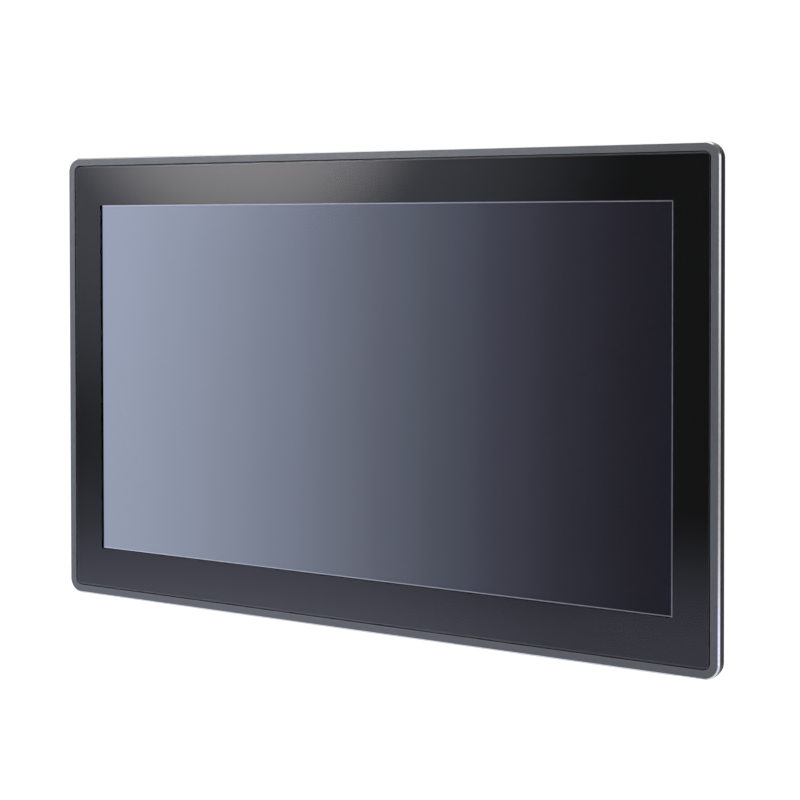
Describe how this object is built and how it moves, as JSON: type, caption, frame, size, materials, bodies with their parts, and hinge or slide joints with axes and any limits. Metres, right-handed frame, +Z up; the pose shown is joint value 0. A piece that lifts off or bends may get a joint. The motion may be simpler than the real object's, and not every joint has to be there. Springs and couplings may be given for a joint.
{
  "type": "hmi touch panel",
  "caption": "Wide flush-glass operator touch panel with a slim chamfered aluminium bezel, clamp-slotted rear housing, finned computer cover, sockets below and a hinged drive door.",
  "frame": {"origin": "centre of the mounting pad's face on the back of the heat-sink cover", "axes": "+X to the right of someone looking at the glass, -Y out of the glass, +Z up"},
  "size_m": [0.5416, 0.074, 0.3426],
  "materials": {
    "dark_aluminium": "bead-blasted, dark grey anodised, front edge cut bright",
    "cover_glass": "clear toughened glass with a black printed border",
    "display": "fine anti-glare haze",
    "clear_sheet": "clear",
    "white_film": "diffuse",
    "black_rubber": "matt",
    "black_plastic": "fine grain",
    "zinc_steel": "zinc plated",
    "powder_coat": "black fine-texture powder coat",
    "heatsink_aluminium": "dark anodised extrusion",
    "raw_aluminium": "milled",
    "nickel": "nickel plated",
    "brass": "turned",
    "circuit_board": "green solder mask",
    "grey_pad": "soft, matt",
    "green_lens": "clear moulded"
  },
  "bodies": {
    "panel": {"front_bezel": "dark_aluminium", "cover_glass": "cover_glass", "glass_tape": "black_rubber", "touch_sensor": "clear_sheet", "panel_gasket": "black_rubber", "lcd_cell": "display", "middle_frame": "black_plastic", "backlight_tray": "zinc_steel", "optical_sheets": "white_film", "light_guide": "clear_sheet", "led_strip": "white_film", "lcd_bracket_left": "zinc_steel", "lcd_bracket_right": "zinc_steel", "timing_board": "circuit_board", "touch_board": "circuit_board", "rear_housing": "powder_coat", "electronics_box": "powder_coat", "heatsink_cover": "heatsink_aluminium", "mainboard": "circuit_board", "processor": "nickel", "thermal_pad": "grey_pad", "heat_block": "raw_aluminium", "memory_socket": "black_plastic", "memory_module": "circuit_board", "battery_holder": "black_plastic", "backup_battery": "nickel", "storage_drive": "raw_aluminium", "drive_tray": "zinc_steel", "door_hinge_pin": "zinc_steel", "dc_inlet": "black_plastic", "video_port": "nickel", "usb_port_1": "nickel", "usb_port_2": "nickel", "lan_port_1": "nickel", "lan_port_2": "nickel", "serial_port": "nickel", "power_led": "green_lens", "earth_stud": "brass", "earth_nut": "brass", "display_cable": "black_plastic", "touch_cable": "black_plastic", "backlight_cable": "black_plastic", "housing_screw_1": "zinc_steel", "cover_screw_1": "zinc_steel", "vesa_insert_1": "brass", "housing_screw_2": "zinc_steel", "cover_screw_2": "zinc_steel", "vesa_insert_2": "brass", "housing_screw_3": "zinc_steel", "cover_screw_3": "zinc_steel", "vesa_insert_3": "brass", "housing_screw_4": "zinc_steel", "cover_screw_4": "zinc_steel", "vesa_insert_4": "brass"},
    "power_button": {"power_button": "black_plastic"},
    "reset_button": {"reset_button": "black_plastic"},
    "mode_switch": {"mode_switch": "black_plastic"},
    "storage_door": {"storage_door": "powder_coat"},
    "door_thumbscrew": {"door_thumbscrew": "nickel"}
  },
  "joints": [
    {"name": "power_button_press", "type": "slide", "parent": "panel", "child": "power_button", "axis": [0, 0, 1], "range_m": [0, 0.0012], "stiffness_N_per_m": 400, "springref_m": -0.001},
    {"name": "reset_button_press", "type": "slide", "parent": "panel", "child": "reset_button", "axis": [0, 0, 1], "range_m": [0, 0.0008], "stiffness_N_per_m": 300, "springref_m": -0.0008},
    {"name": "mode_switch_slide", "type": "slide", "parent": "panel", "child": "mode_switch", "axis": [1, 0, 0], "range_m": [0, 0.003]},
    {"name": "storage_door_hinge", "type": "hinge", "parent": "panel", "child": "storage_door", "pos_m": [0.1525, -0.0185, 0.03857], "axis": [0, 0, 1], "range_deg": [0, 110]},
    {"name": "door_thumbscrew_turn", "type": "hinge", "parent": "storage_door", "child": "door_thumbscrew", "pos_m": [0.153, -0.027, -0.00343], "axis": [1, 0, 0], "continuous": true}
  ]
}
